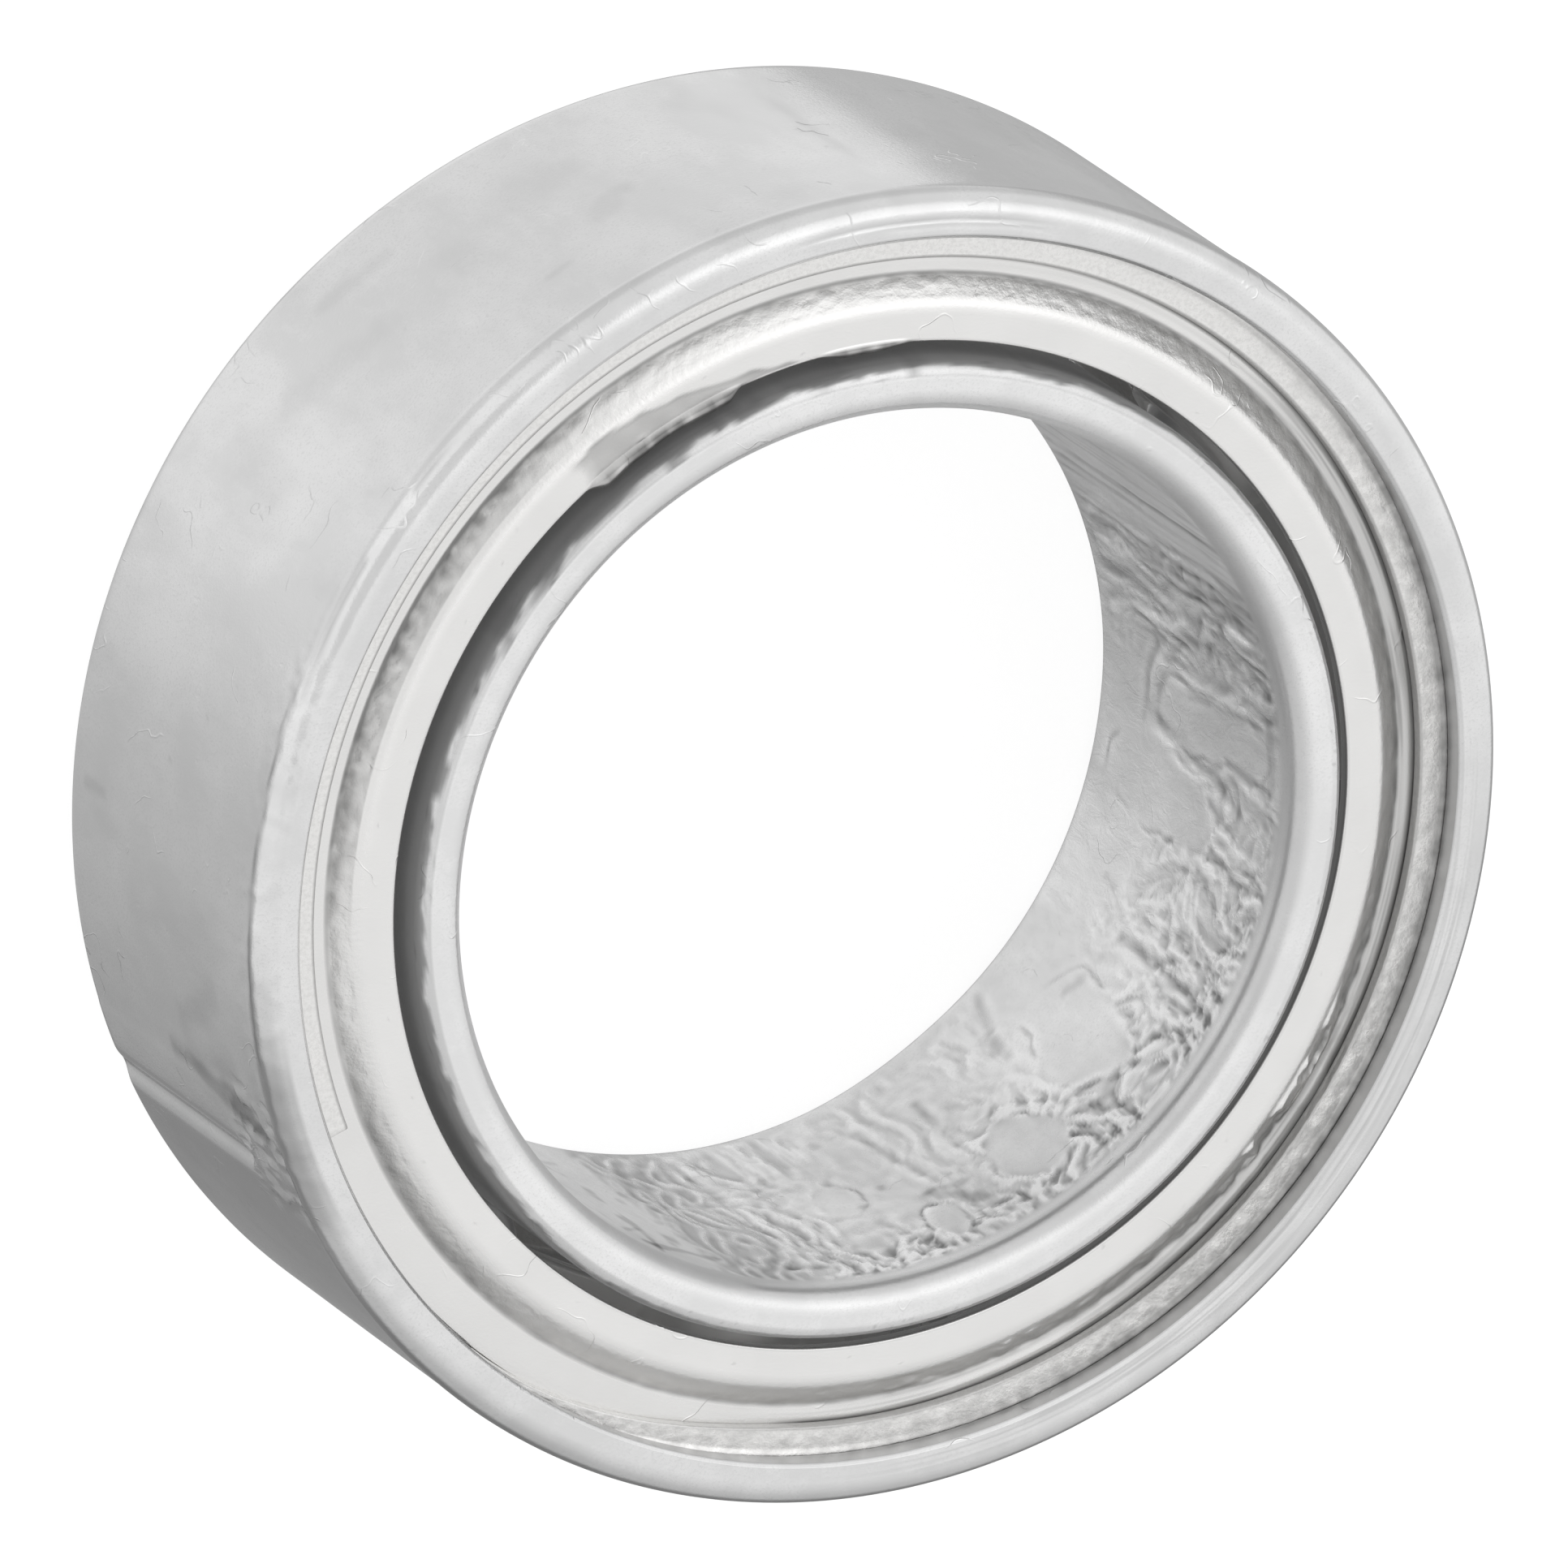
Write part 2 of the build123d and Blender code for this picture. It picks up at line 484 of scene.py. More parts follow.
def outer_relief(surface):
    """Faint waves on the ground outside, a torn patch and a groove low on its left, scuffs along its
    front edge, and a gouge and streaks in the front face."""
    at, angle, r, depth = surface.everywhere
    outside = surface.on("outside", 0.05)
    waves = (noise(at * (1.4, 1.4, 0.7)) - 1) * 0.9 + (noise(at * (3.5, 3.5, 2.2) + 40) - 1) * 0.35
    torn = arc(angle, 194, 206, 2) * step(depth, 0.52, 0.75) * (ridges(at * (6, 6, 3) + 5) * 20 - 15)
    ledge = 3 * arc(angle, 196.5, 201.3, 0.3) * (1 - step(depth, 0.55, 0.62))
    groove = 42 * spot(along(angle, depth, outside_groove), 0, 0.95)
    scratch = 5 * spot(along(angle, depth, outside_scratch), 0, 0.25)
    rim = surface.on("bend", 0.02) + surface.on("outside", 0.01)
    worn = arc(angle, 150, 208, 6) * step(depth, 1.15, 1.35)
    scuffs = worn * (ridges(at * (3.5, 3.5, 6) + 31) - 1) * 7
    slanted = np.sin(5.2 * turned(angle, 155) + 3 * depth)
    ticks = arc(angle, 151, 158, 1.5) * spot(depth, 1.36, 0.07) * slanted
    face = surface.on("face", 0.02)
    nicks = knocks(at + 9, 0.16, 0.6) * 2.0
    wander = 0.01 * noise(at * 2.3)
    gouge = arc(angle, 76, 96, 5) * spot(r, 4.572 + wander, 0.012) * 12
    gouge = gouge + arc(angle, 74, 90, 2) * spot(r, 4.53 + 2 * wander, 0.02) * 4
    scored = arc(angle, -78, -15, 10) * step(r, 4.68, 4.56) * (
        3.0 * ringed(surface, 0.03) + 4 * ridges(at * 4 + 3)
    )
    return (
        outside * (waves + torn + ledge - 4 - groove + scratch)
        + rim * (scuffs + 0.8 * ticks)
        - face * (nicks + gouge + scored)
    )


def outer_stain_and_shade(surface):
    """Painted shade in the snap ring's groove, on the mouth's chamfer at the top and right, on the outside's
    rounded edge at the top and lower side, and in a step past 162 degrees round; smudged, hazy and
    speckled on the outside.
    """
    at, angle, r, depth = surface.everywhere
    ragged = 0.5 * layered(at * (4, 4, 2.4), 3)
    marks = sum(
        strength * (1 - step(along(angle, depth, places) / wide + ragged, 0.1, 1.5))
        for places, wide, strength in smudges_outside
    )
    streak = 0.12 * spot(turned(angle, 87.3), 0, 0.6) * (1 - step(np.abs(depth), 0.4, 0.9))
    haze = 0.1 * step(layered(at * (1.6, 1.6, 0.9) + 60, 3), 0.0, 0.9)
    # painted shade: a step darker past 162 degrees round, from 120 to 201 degrees
    haze = haze + 0.05 * step(turned(angle, 162), -1.5, 1.5) * arc(angle, 120, 201, 0.5)
    line = arc(angle, 157, 190, 2) * spot(depth, 1.44 + 0.03 * noise(at * (1.5, 1.5, 0)), 0.014) * 0.8
    line = line + arc(angle, 190, 206, 3) * step(depth, 1.3, 1.5) * 0.4
    specks = 0.25 * knocks(at + 3, 0.05, 0.75)
    outside = surface.on("outside", 0.01) + surface.on("bend", 0.01)
    # painted shade on the mouth's chamfer, darker at the top and at the right
    chamfer = surface.on("edge", 0.004) * (
        0.05 + 0.3 * arc(angle, 45, 125, 15) + 0.2 * arc(angle, -60, 40, 15)
    )
    # painted shade on the outside's rounded edge at the top and lower side, dimming its highlight; dark drips
    # are added to it below
    rounded = surface.on("bend", 0.01) * step(r, 4.63, 4.7) * (
        0.28 * arc(angle, 45, 128, 12) + 0.3 * arc(angle, 183, 315, 8)
    )
    streaky = arc(angle, -85, -5, 14) * step(r, 4.68, 4.52)
    streaky = streaky * step(ringed(surface, 0.024), -0.1, 0.6)
    drips = arc(angle, 128, 158, 5) * spot(r, 4.735 + 0.015 * noise(at * 1.2), 0.012)
    rounded = rounded + 0.5 * drips * step(noise(at * (3, 3, 1)), -0.2, 0.3)
    return (
        outside * (marks + streak + haze + line + specks) + chamfer + rounded
        # painted shade darkens the snap ring's groove
        + 0.65 * surface.on("groove", 0.003)
        + surface.on("face", 0.003) * (specks + 0.4 * streaky)
    )


# Inner ring: smooth places in the bore's crinkled film, as (centre in degrees, depth, half width in
# degrees, half height in mm)
smooth_places = (
    (-59.5, 0.58, 4.6, 0.5),
    (-74.5, 0.8, 2.6, 0.3),
    (-43.5, -0.1, 6.4, 0.72),
    (-12.5, -0.45, 5.2, 0.8),
    (-0.8, 0.15, 4.4, 0.78),
    (-83.0, 0.00, 3.6, 0.3),
)
# Folds in the film: (places, half width in degrees, depth in micrometres, negative where it stands up)
bore_folds = (
    ([(-8.5, 0.68), (-6.8, 0.35), (-5.5, -0.25), (-3.6, -0.66)], 1.3, 26),
    ([(-3.6, -0.66), (1.0, -0.66), (4.5, -0.5), (9.0, -0.28), (12.5, -0.02)], 1.0, -20),
    ([(-4.5, -0.8), (2.0, -0.74), (6.0, -0.6)], 0.9, 14),
    ([(-31.8, 0.95), (-31.4, 0.2), (-31.0, -0.25)], 0.8, 24),
    ([(-28.5, 1.1), (-27.8, 0.75), (-26.6, 0.45)], 0.9, 14),
    ([(-57.5, 0.02), (-55.0, 0.25), (-52.5, 0.55)], 1.0, -24),
    ([(-96.4, 1.0), (-95.2, 0.2), (-94.8, -0.9)], 1.1, 18),
    ([(-91.5, 0.6), (-89.5, -0.1), (-89.0, -0.6)], 1.0, 10),
    ([(-71.5, 0.1), (-72.3, -0.85)], 0.8, 14),
    ([(-65.0, 0.0), (-63.9, -0.8)], 0.8, 12),
    ([(-52.5, 0.6), (-53.0, 0.0)], 1.3, 16),
    ([(-50.3, -0.9), (-47.8, -1.35)], 0.9, 16),
    ([(7.0, 0.8), (5.8, 0.1), (4.8, -0.45)], 1.2, 14),
    ([(11.8, 0.8), (10.6, 0.2), (8.8, -0.2)], 1.1, 14),
    ([(-3.8, 1.15), (-3.4, 0.5)], 0.7, 12),
    ([(2.8, 0.22), (1.8, -0.1)], 0.4, 6),
    ([(30.8, 0.0), (32.2, 0.12)], 0.5, 8),
    ([(-81.0, 0.5), (-79.0, 1.0), (-76.5, 1.3)], 1.1, 14),
    ([(-98.0, 1.05), (-94.0, 1.07)], 1.0, 12),
    ([(19.0, -0.2), (20.0, -0.9)], 1.2, 12),
    ([(14.0, 0.0), (16.2, -0.6)], 1.2, 14),
)
# Dark blots: (places, half width in degrees, strength)
bore_blots = (
    ([(-72.8, 0.42), (-71.0, 0.62), (-68.6, 0.78)], 1.6, 0.6),
    ([(-73.0, 0.38), (-68.8, 0.48)], 1.0, 0.45),
    ([(-76.8, 0.05), (-76.4, 0.0)], 1.0, 0.55),
    ([(-80.8, 0.2), (-80.2, 0.2)], 0.8, 0.45),
    ([(15.0, 0.68), (16.2, 0.42)], 2.0, 0.65),
    ([(20.5, 0.7), (22.8, 0.72)], 0.9, 0.4),
    ([(13.0, 0.2), (14.5, 0.3)], 1.2, 0.45),
    ([(-57.0, 1.22), (-51.0, 1.2)], 1.2, 0.5),
    ([(-51.8, 0.68), (-48.0, 0.8)], 1.3, 0.5),
    ([(-52.0, -0.65), (-50.8, -0.8)], 1.4, 0.5),
    ([(-40.6, -0.47), (-38.0, -0.4)], 1.3, 0.4),
    ([(-77.8, -0.95), (-77.6, -0.9)], 1.0, 0.35),
    ([(-75.0, -0.95), (-74.6, -0.95)], 1.0, 0.3),
    ([(-26.4, -0.6), (-25.6, -0.75)], 0.9, 0.35),
    ([(-12.0, 1.17), (10.0, 1.19)], 1.4, 0.4),
    ([(-105.5, -0.6), (-104.5, -1.0)], 1.3, 0.35),
    ([(-102.0, -0.9), (-100.5, -1.0)], 2.0, 0.3),
    ([(-119.5, 1.1), (-113.0, 0.95), (-108.5, 1.0)], 1.3, 0.6),
    ([(-122.0, 0.95), (-117.0, 0.65)], 0.7, 0.5),
    ([(-118.0, -0.75), (-115.0, -0.88)], 0.8, 0.35),
    ([(-111.8, -0.15), (-111.6, -0.22)], 0.9, 0.35),
    ([(-110.0, 0.25), (-109.6, 0.2)], 0.8, 0.3),
)


def softened(values, reach):
    """Each value averaged with its neighbours up to some steps away, along and round."""
    for axis in (0, 1):
        values = sum(np.roll(values, n, axis) for n in range(-reach, reach + 1)) / (2 * reach + 1)
    return values


def bore_smoothness(at, angle, depth):
    """1 inside the film's smooth places and 0 outside them, with how near their rims are."""
    inside, rims = 0, 0
    for centre, middle, wide, tall in smooth_places:
        away = np.hypot(turned(angle, centre) / wide, (depth - middle) / tall)
        away = away + 0.42 * noise(at * 1.7 + centre) + 0.12 * noise(at * 7 + centre)
        inside = np.maximum(inside, 1 - step(away, 0.88, 1.04))
        rims = np.maximum(rims, spot(away, 1.05, 0.06))
    return inside, rims


def layers(values, depth):
    """Torn layers of film: flat, with a ledge of a depth wherever the values pass a third."""
    return depth * (sum(step(values, at, at + 0.1) for at in (-0.33, 0.0, 0.33)) - 1.5)


def film_height(at, angle, depth, smooth, rims):
    """The film's height in micrometres: torn layers, feathery flakes, long wrinkles, a net and stripes."""
    warp = 0.3 * np.stack([noise(at * 1.8 + 30 * n) for n in range(3)], -1)
    flaky = np.maximum(
        arc(angle, -66, -4, 4) * step(depth + 0.55 * noise(at * 1.4), -0.75, 0.25),
        arc(angle, -94, -60, 5) * step(depth, 0.6, 1.0),
    )
    flaky = np.maximum(flaky, 0.7 * arc(angle, 8, 24, 3))
    chips = arc(angle, -92, -16, 4) * step(depth, 0.85, 1.05)
    netted = arc(angle, -109, -97, 1.2)
    wrinkled = np.maximum(
        arc(angle, -98, -50, 4) * (1 - 0.5 * step(turned(angle, -84), -6, 6)), 0.9 * arc(angle, 3, 26, 2)
    )
    striped = arc(angle, 18, 44, 4)
    flakes = layered((at + warp) * (4.2, 4.2, 1.6), 3)
    feathers = layered((at + 0.6 * warp) * (9, 9, 2.6) + 12, 2)
    crumbs = ridges((at + warp) * (7, 7, 6) + 77, 2)
    net = ridges((at + 0.5 * warp) * (7, 7, 2.4) + 11, 1)
    wrinkles = layered((at + 0.4 * warp) * (6, 6, 0.9) + 55, 3)
    lumps = layered((at + 0.6 * warp) * (4.5, 4.5, 3.2) + 66, 3)
    broken = step(noise(at * (2.2, 2.2, 1.4) + 29), -0.25, 0.25)
    stripes = layered((at + 0.1 * warp) * (11, 11, 0.3) + 91, 2)
    height = (
        flaky * (layers(flakes, 8) + 9 * feathers) + chips * 12 * (crumbs - 0.5) + netted * 13 * (net - 0.5)
        + wrinkled * (broken * (14 * wrinkles + layers(wrinkles, 5)) + (1 - broken) * 10 * lumps)
        + striped * 12 * stripes
    )
    height = height * (1 - 0.96 * smooth) - rims * 9 * step(noise(at * 2.4), -0.3, 0.4)
    height = height + 5 * noise(at * (1.6, 1.6, 1.2) + 4) + 1.6 * layered(at * (5, 5, 3) + 70, 2)
    for places, wide, deep in bore_folds:
        away = along(angle, depth, places) * (1 + 0.35 * noise(at * 4 + wide))
        height = height - deep * (0.75 + 0.4 * noise(at * 3 + deep)) * spot(away, 0, wide)
    return height * step(depth, -1.45, -1.25)


def bore_skin(surface):
    """The bore's dried film: its height in micrometres and how dark it is, most in its hollows. A calm
    band runs along the front, with a painted glint in it near the front edge."""
    at, angle, _, depth = surface.everywhere
    smooth, rims = bore_smoothness(at, angle, depth)
    height = film_height(at, angle, depth, smooth, rims)
    hollow = np.clip(softened(height, 3) - height, -6, 12)
    tone = 0.22 + 0.07 * layered(at * (2.2, 2.2, 1.2) + 13, 3) + 0.052 * hollow
    tone = tone - 0.17 * arc(angle, -130, -109, 2) * (1 - step(depth, 0.7, 1.2))
    tone = tone - 0.1 * arc(angle, -58, -18, 6) * (1 - step(depth, 0.2, 0.9))
    tone = tone - 0.12 * arc(angle, -30, 45, 8) * (1 - step(depth, -0.6, 0.3)) - 0.16 * arc(angle, 18, 47, 6)
    tone = tone + 0.13 * arc(angle, -106, -16, 6) * step(depth, -0.1, 1.1) + 0.1 * arc(angle, -109, -97, 1)
    for places, wide, strength in bore_blots:
        away = along(angle, depth, places) / wide + 0.55 * layered(at * (6, 6, 5) + 20, 2)
        tone = tone + 0.55 * strength * (1 - step(away, 0.25, 1.15))
    band = step(depth, 1.28, 1.38)
    # painted highlight: the glint lightens a line in the front band
    glint = spot(depth, 1.41, 0.035) * arc(angle, -95, -10, 10)
    front = 0.4 - 0.14 * glint - 0.25 * arc(angle, 55, 200, 15)
    lower_front = 0.2 * arc(angle, 4, 45, 5) * step(depth, 0.8, 1.0)
    height = height * (1 - step(depth, 1.1, 1.36))
    streaks = arc(angle, 16, 45, 4) * layered(at * (9, 9, 0.3) + 91, 2) * 0.7
    streaks = streaks + arc(angle, -132, -108, 3) * step(layered(at * (4, 4, 1.4) + 19, 3), 0.25, 0.7) * 0.4
    return height, (tone + lower_front + streaks) * (1 - band) + front * band


def inner_relief(surface):
    """The bore's skin, a wavy back edge to it, and nicks in the ground faces."""
    at, angle, r, depth = surface.everywhere
    bore = 1 - step(r - bore_radius / MM, 0.02, 0.13)
    height, _ = bore_skin(surface)
    swell = 16 * spot(turned(angle, -57), 0, 13) + 5 * noise(at * (0.9, 0.9, 0))
    wavy = step(-depth, 1.15, 1.5) * arc(angle, -128, 0, 10) * swell
    bend = surface.on("bend", 0.02)
    nicks = surface.on("face", 0.02) * knocks(at, 0.14, 0.65) * 1.5
    return bore * (height + wavy) - nicks - bend * (1 - ridges(at * 9)) * 1.2


def inner_stain_and_shade(surface):
    """The bore's film, grease on the land and the raceway, smears on the land's rounded edge, and painted
    shade on that edge at the top and left.
    """
    at, angle, r, _ = surface.everywhere
    bore = 1 - step(r - bore_radius / MM, 0.05, 0.165)
    _, tone = bore_skin(surface)
    sealed = surface.on("land", 0.01) + surface.on("raceway", 0.01)
    bend = surface.on("bend", 0.004)
    specks = 0.25 * knocks(at, 0.045, 0.45)
    smears = arc(angle, 84, 150, 8) * 0.5 * step(layered(at * 3 + 7, 3), 0.0, 0.5)
    crept = 0.028 * layered(at * 5 + 3, 3) * arc(angle, 40, 250, 15)
    spread = step(r + crept - inner_land_radius / MM, -0.048, -0.024)
    # painted shade: the land's rounded edge is darker at the top and left, which dims its highlight
    top = 0.2 * arc(angle, 35, 135, 15) + 0.16 * arc(angle, 120, 245, 15)
    return bore * tone + 0.28 * sealed + bend * (0.1 + top + 0.6 * spread + specks + smears)


# Shield
def shield_relief(surface):
    """Press marks: rings on the flange, a grainy slope, and a soft sway on the raised face. The lower
    right of the slope is torn, and dried grease stands in from the inner edge at the upper left."""
    at, angle, r, _ = surface.everywhere
    flange = surface.on("flange", 0.02)
    slope = surface.on("slope", 0.03)
    raised = surface.on("raised", 0.02)
    lip = surface.on("lip", 0.02)
    steps = np.sin(r / 0.013 + 2 * noise(at * 0.8)) * arc(angle, -95, 70, 20)
    grain = layered(at * 9, 2)
    sway = noise(at * 2.2 + 3)
    crumbs = step(layered(at * 3.6 + 21, 3), -0.05, 0.45)
    torn = crumbs * (20 * arc(angle, -50, -27, 4) + 9 * arc(angle, -88, -15, 6))
    bubbly = arc(angle, 142, 172, 6) * (ridges(at * 8 + 2, 1) - 0.5) * 5
    dabs = arc(angle, 107, 125.5, 1.2) + 0.6 * arc(angle, 87, 95, 2)
    lumps = np.clip(0.85 + 0.25 * layered(at * 2 + 8, 2), 0, 1)
    across, out = radians(1) * turned(angle, 118.5) * r, r - 3.675
    bubble = spot(np.hypot(across, out), 0.034, 0.01)
    ragged = arc(angle, -90, -12, 5) * (layered(at * 7 + 33, 2) - 0.4) * 9
    return (
        flange * (steps * 1.6 + sway + 0.2 * torn)
        + slope * (grain * 3.5 + sway * 2 + torn + ragged + bubbly)
        + raised * (sway * 1.6 + bubble * 9)
        + lip * dabs * lumps * 84
    )


def shield_stain_and_shade(surface):
    """Painted shade in the crease at the slope's foot, beside the snap ring, on the slope's left and right
    and on the flange at the right; a grease film on the upper left of the raised face.
    """
    at, angle, r, _ = surface.everywhere
    flange, slope = surface.on("flange", 0.006), surface.on("slope", 0.004)
    raised, lip = surface.on("raised", 0.002), surface.on("lip", 0.002)
    ragged = 0.5 * layered(at * 9, 2)
    # painted shade in the crease at the slope's foot, less on the lower left
    foot = spot(r, 4.1, 0.02) + spot(r, 4.065, 0.035) * (0.55 + ragged) * 0.7
    foot = foot * (1 - 0.45 * arc(angle, 165, 300, 15))
    # painted shadow of the snap ring on the flange beside it, left out where the wire's gap is
    corner = step(r, 4.205, 4.225) * (1 - arc(angle, 195, 262, 3))
    # painted shade on the slope's left and lower left
    left_slope_shade = arc(angle, 128, 176, 10) * (0.3 + 0.35 * ragged)
    left_slope_shade = left_slope_shade + 0.35 * arc(angle, 196, 226, 6) * spot(r, 4.05, 0.05)
    band = spot(r, 4.034 + 0.02 * layered(at * 3, 3), 0.031 + 0.014 * noise(at * 4))
    lined = 0.34 * arc(angle, -95, 45, 14) * step(ringed(surface, 0.022), -0.05, 0.55)
    # painted shade on the slope and the flange at the right, with a dark band across the slope
    right = arc(angle, -75, 35, 14) * (0.02 + 0.38 * band * arc(angle, -88, -10, 8))
    white = -0.5 * arc(angle, -50, -26, 3) * step(layered(at * 3.6 + 21, 3), 0.2, 0.45)
    before = np.abs(np.minimum(turned(angle, 119.5), 0))
    film_top = 3.885 - 0.0105 * before + 0.035 * layered(at * 3.5 + 50, 2)
    ragged_end = angle + radians(1.6) * layered(at * 5 + 9, 2)
    film = arc(ragged_end, 99, 125.5, 1.2) * (1 - step(r, film_top - 0.012, film_top + 0.012))
    film = film * (0.46 + 0.16 * layered(at * 3.5 + 50, 2)) + 0.15 * film * spot(r, film_top - 0.02, 0.012)
    specks = 0.3 * knocks(at + 8, 0.05, 0.75)
    top = flange * (0.9 * corner + 0.06) + slope * (0.75 * foot + left_slope_shade + right + white)
    # painted shade on the flange at the lower right
    low_right_shade = 0.28 * arc(angle, -60, 40, 14)
    fringe = 0.5 * spot(r, 3.655, 0.012) * arc(angle, 85, 126, 1)
    greased = (0.7 + ragged) * (arc(angle, 105, 126, 2) + 0.9 * arc(angle, 85, 96, 2))
    return (
        top + raised * (film + specks + fringe) + flange * (right + low_right_shade + lined)
        + lip * (0.15 + greased)
    )


# Snap ring
def snap_relief(surface):
    """Pits all over a coined wire, and burrs on one stretch of it."""
    at, angle, r, _ = surface.everywhere
    shown = surface.on("top", 0.01) + surface.on("wall", 0.02)
    pits = 1.9 * (0.35 + 0.9 * arc(angle, 228, 400, 14)) * layered(at * 11, 2)
    crumple = np.abs(layered(at * 5 + 21, 2)) - 0.9
    burrs = 8 * arc(angle, -68, -22, 5) * crumple * (1 - step(r, 4.38, 4.42))
    raised_edge = 15 * surface.on("top", 0.005) * step(r, 4.39, 4.43)
    return shown * (pits - 3.5 + burrs) + raised_edge


def snap_stain_and_shade(surface):
    """Painted shade on the wire's edges and on the outer rim of its top, and grime between the pits."""
    at, angle, r, _ = surface.everywhere
    grime = 0.03 + 0.2 * arc(angle, 235, 400, 14) * (0.5 + layered(at * 10 + 4, 2))
    top = surface.on("top", 0.01)
    # painted shade on the wire's underside, outer rim and inner wall, lighter near its narrow end
    edge = 0.55 - 0.45 * arc(angle, 215, 250, 12)
    # painted shade on the outer rim of the wire's top, under the lip
    rim = 0.7 * step(r, 4.37, 4.405) * arc(angle, 275, 400, 20)
    return edge * (1 - top) + top * (grime + rim)


def tapered(vertices, start):
    """The wire narrows towards its first end, at the start angle, keeping its outer radius."""
    least, reach = 0.36, 36
    x, y, level = vertices.T
    past = turned(np.arctan2(y, x), np.degrees(start))
    share = np.where(past < -1, 1, least + (1 - least) * step(past, 0, reach))
    radius = np.hypot(x, y)
    scale = (snap_outer_radius - (snap_outer_radius - radius) * share) / radius
    return np.stack((x * scale, y * scale, level), -1)


# ---- materials


class Graph:
    """A material's nodes. Each call adds a node and returns its output."""

    def __init__(self, name, tree=None):
        if tree is None:
            self.material = bpy.data.materials.new(name)
            self.material.use_nodes = True
            tree = self.material.node_tree
        self.tree = tree
        self.tree.nodes.clear()

    def node(self, kind, output=0, settings=None, **inputs):
        made = self.tree.nodes.new("ShaderNode" + kind)
        for key, value in (settings or {}).items():
            setattr(made, key, value)
        for key, value in inputs.items():
            socket = made.inputs[int(key[1:]) if key[0] == "_" else key.replace("_", " ")]
            if isinstance(value, bpy.types.NodeSocket):
                self.tree.links.new(value, socket)
            else:
                socket.default_value = value
        return made.outputs[output]

    def math(self, operation, a, b=0.0, clamp=False):
        return self.node("Math", settings={"operation": operation, "use_clamp": clamp}, _0=a, _1=b)

    def times(self, a, b):
        return self.math("MULTIPLY", a, b)

    def plus(self, a, b):
        return self.math("ADD", a, b)

    def blend(self, share, none, full):
        """A colour from the one for no share to the one for a full share."""
        return self.node("Mix", 2, settings={"data_type": "RGBA"}, _0=share, _6=none, _7=full)

    def mapped(self, value, low, high, to_low=0.0, to_high=1.0):
        return self.node(
            "MapRange", settings={"interpolation_type": "SMOOTHSTEP"}, Value=value,
            _1=low, _2=high, _3=to_low, _4=to_high,
        )

    def position(self):
        return self.node("TexCoord", "Object")

    def stretched(self, scale):
        return self.node("VectorMath", settings={"operation": "MULTIPLY"}, _0=self.position(), _1=scale)

    def noise(self, size, stretch=(1, 1, 1), detail=3.0, roughness=0.55, distortion=0.0):
        """Noise with features of a size in metres, longer where the stretch is under 1."""
        return self.node(
            "TexNoise", "Fac", Vector=self.stretched(stretch), Scale=1 / size, Detail=detail,
            Roughness=roughness, Distortion=distortion,
        )

    def split(self, vector):
        made = self.tree.nodes.new("ShaderNodeSeparateXYZ")
        self.tree.links.new(vector, made.inputs[0])
        return made.outputs

    def polar(self):
        """Distance from the axis, angle and level of a point."""
        x, y, z = self.split(self.position())
        square = self.plus(self.times(x, x), self.times(y, y))
        return self.math("SQRT", square), self.math("ARCTAN2", y, x), z

    def rings(self, size):
        """Fine turning lines round the axis, a size apart."""
        radius, _, _ = self.polar()
        wobble = self.times(self.noise(1.2 * MM, detail=1), size * 1.5)
        across = self.plus(radius, wobble)
        vector = self.node("CombineXYZ", X=across)
        return self.node("TexNoise", "Fac", Vector=vector, Scale=1 / size, Detail=2.0, Roughness=0.6)

    def hairlines(self):
        """Sparse, thin, curving scratches, from 0 to 1."""
        curves = self.noise(0.45 * MM, detail=2, roughness=0.4)
        wander = self.math("ABSOLUTE", self.math("SUBTRACT", curves, 0.5))
        there = self.mapped(self.noise(0.6 * MM, detail=1), 0.58, 0.64)
        return self.times(self.mapped(wander, 0.009, 0.0), there)

    def bump(self, height, distance, normal=None):
        more = {} if normal is None else {"Normal": normal}
        return self.node("Bump", Height=height, Distance=distance, Strength=1.0, **more)

    def painted_glow(self, share):
        """A painted glow that lightens the dark sealed space, for a share from 0 to 1."""
        return self.blend(share, (0, 0, 0, 1), painted_glow_color)

    def shown(self, shader, kind="Material"):
        """The last node, for the shader that the material or the world shows."""
        out = self.tree.nodes.new("ShaderNodeOutput" + kind)
        self.tree.links.new(shader, out.inputs["Surface"])

    def finish(self, color, roughness, normal, glow=None):
        """The metal's own shader, with a painted glow on it where one is given."""
        more = {} if glow is None else {"Emission_Color": glow, "Emission_Strength": 1.0}
        self.shown(self.node(
            "BsdfPrincipled", Metallic=1.0, Base_Color=color, Roughness=roughness, Normal=normal, **more
        ))
        return self.material


def grey(tone, warmth=0.0):
    """A grey of a tone, slightly yellow where the warmth is over 0."""
    return (tone * (1 + 0.5 * warmth), tone, tone * (1 - warmth), 1.0)


def tint(graph, dark, light, share, warmth=0.0):
    """A grey from dark to light."""
    return graph.blend(share, grey(dark, warmth), grey(light, warmth))


def stained_and_shaded(graph, dark, light, clouds, warmth=0.0):
    """The metal's grey, from light where it is clean to dark where stains and painted shade lie, and their
    share.
    """
    stain_and_shade = graph.node("Attribute", "Fac", settings={"attribute_name": "stain_and_shade"})
    clean = tint(graph, light * 0.9, light, clouds, warmth)
    return graph.blend(stain_and_shade, clean, grey(dark, warmth)), stain_and_shade


